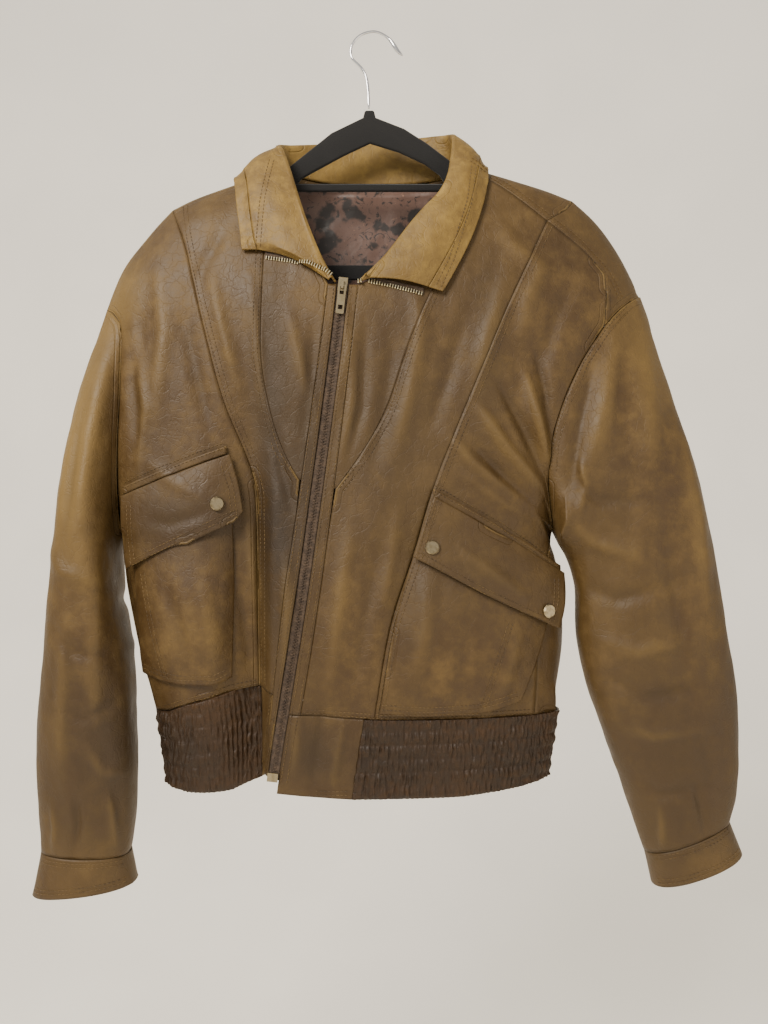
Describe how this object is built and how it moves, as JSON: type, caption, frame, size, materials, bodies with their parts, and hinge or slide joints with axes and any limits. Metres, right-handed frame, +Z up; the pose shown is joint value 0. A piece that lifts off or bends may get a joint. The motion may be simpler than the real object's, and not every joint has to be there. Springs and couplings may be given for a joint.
{
  "type": "leather jacket on hanger",
  "caption": "Worn leather blouson with a turned-down collar, front zip, flapped pouch pockets and a gathered waistband, hanging on a flocked hanger with a wire hook.",
  "frame": {"origin": "inside the top of the hanger's hook, where a rail or nail carries it", "axes": "+Z up; the jacket's front faces -Y; its left side, as worn, is at +X"},
  "size_m": [0.7684, 0.1273, 0.9433],
  "materials": {
    "leather": "worn, waxy",
    "collar_leather": "worn, waxy, lighter",
    "waist_leather": "gathered, darker",
    "zip_tape": "woven",
    "lining": "satin print",
    "velvet": "flocked",
    "hook_chrome": "polished",
    "antique_brass": "antique, dulled"
  },
  "bodies": {
    "jacket": {"back": "leather", "collar": "collar_leather", "collar_edge_band": "collar_leather", "hanger_body": "velvet", "hanger_hook": "hook_chrome", "left_bib": "leather", "left_cuff": "leather", "left_flap": "leather", "left_middle_front": "leather", "left_placket": "leather", "left_pouch": "leather", "left_side_front": "leather", "left_sleeve": "leather", "left_stud_1": "antique_brass", "left_stud_2": "antique_brass", "left_welt": "leather", "left_yoke_inner": "leather", "left_yoke_outer": "leather", "left_zip_tape": "zip_tape", "left_zip_top": "zip_tape", "lining_back": "lining", "right_bib": "leather", "right_cuff": "leather", "right_flap": "leather", "right_middle_front": "leather", "right_placket": "leather", "right_pouch": "leather", "right_side_front": "leather", "right_sleeve": "leather", "right_stud_1": "antique_brass", "right_welt": "leather", "right_yoke_inner": "leather", "right_yoke_outer": "leather", "right_zip_tape": "zip_tape", "right_zip_top": "zip_tape", "waist_back_shirred": "waist_leather", "waist_left_shirred": "waist_leather", "waist_left_strip": "waist_leather", "waist_left_tab": "leather", "waist_right_shirred": "waist_leather", "waist_right_strip": "waist_leather", "waist_right_tab": "leather", "zip_box": "antique_brass", "zip_slider": "antique_brass"},
    "pull_tab": {"zip_pull": "antique_brass"}
  },
  "joints": [
    {"name": "pull_tab_swing", "type": "hinge", "parent": "jacket", "child": "pull_tab", "pos_m": [-0.03172, -0.06067, -0.294], "axis": [-0.9941, 0, 0.108], "range_deg": [0, 150]}
  ]
}
